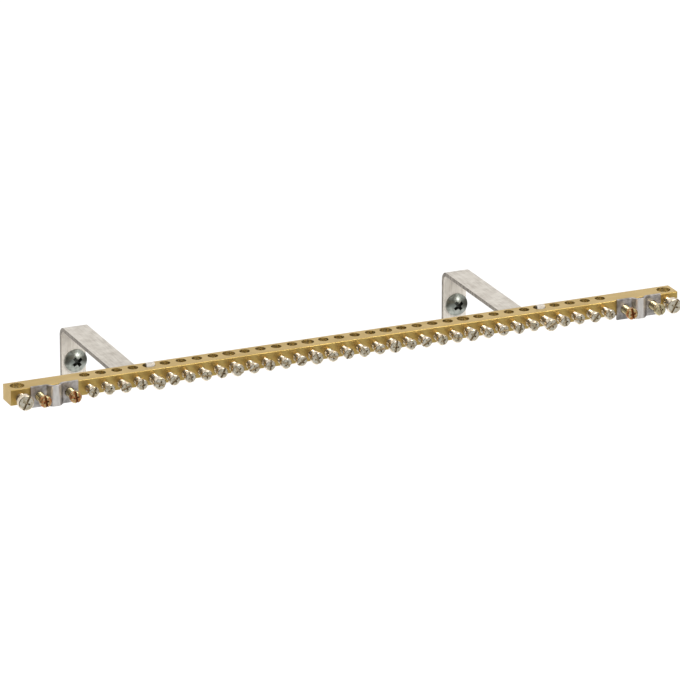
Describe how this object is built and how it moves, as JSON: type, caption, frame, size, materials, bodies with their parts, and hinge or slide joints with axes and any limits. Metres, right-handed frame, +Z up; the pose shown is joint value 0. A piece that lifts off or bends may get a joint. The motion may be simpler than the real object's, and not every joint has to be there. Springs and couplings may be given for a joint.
{
  "type": "earth terminal bar",
  "caption": "Brass earth terminal bar with a row of screw-clamped wire ways, a conductor clamp at each end and two long folded brackets that hold it off a mounting plate.",
  "frame": {"origin": "where the left fixing screw's axis crosses the mounting plane, the rear face of the feet", "axes": "+X along the bar to the right, +Y into the mounting plate, +Z up"},
  "size_m": [0.426, 0.145, 0.0466],
  "materials": {
    "bar_brass": "extruded brass bar, satin, faint drawing lines",
    "galvanised_strip": "galvanised steel strip, dull and slightly mottled",
    "zinc_strap": "zinc-plated pressed steel, blue-grey",
    "nickel_screw": "nickel-plated steel screw, bright",
    "clamp_screw_brass": "yellow-passivated screw, browned by rust",
    "zinc_wall_screw": "zinc-plated pan-head screw, grey"
  },
  "bodies": {
    "root": {"bar": "bar_brass", "bracket_left": "galvanised_strip", "wall_screw_left": "zinc_wall_screw", "clamp_strap_left": "zinc_strap", "end_screw_left": "nickel_screw", "clamp_screw_left_outer": "clamp_screw_brass", "clamp_screw_left_inner": "clamp_screw_brass", "bracket_right": "galvanised_strip", "wall_screw_right": "zinc_wall_screw", "clamp_strap_right": "zinc_strap", "end_screw_right": "nickel_screw", "clamp_screw_right_outer": "nickel_screw", "clamp_screw_right_inner": "clamp_screw_brass", "terminal_screw_01": "nickel_screw", "terminal_screw_02": "nickel_screw", "terminal_screw_03": "nickel_screw", "terminal_screw_04": "nickel_screw", "terminal_screw_05": "nickel_screw", "terminal_screw_06": "nickel_screw", "terminal_screw_07": "nickel_screw", "terminal_screw_08": "nickel_screw", "terminal_screw_09": "nickel_screw", "terminal_screw_10": "nickel_screw", "terminal_screw_11": "nickel_screw", "terminal_screw_12": "nickel_screw", "terminal_screw_13": "nickel_screw", "terminal_screw_14": "nickel_screw", "terminal_screw_15": "nickel_screw", "terminal_screw_16": "nickel_screw", "terminal_screw_17": "nickel_screw", "terminal_screw_18": "nickel_screw", "terminal_screw_19": "nickel_screw", "terminal_screw_20": "nickel_screw", "terminal_screw_21": "nickel_screw", "terminal_screw_22": "nickel_screw", "terminal_screw_23": "nickel_screw", "terminal_screw_24": "nickel_screw", "terminal_screw_25": "nickel_screw", "terminal_screw_26": "nickel_screw", "terminal_screw_27": "nickel_screw", "terminal_screw_28": "nickel_screw", "terminal_screw_29": "nickel_screw", "terminal_screw_30": "nickel_screw", "terminal_screw_31": "nickel_screw", "terminal_screw_32": "nickel_screw", "terminal_screw_33": "nickel_screw", "terminal_screw_34": "nickel_screw"}
  },
  "joints": []
}
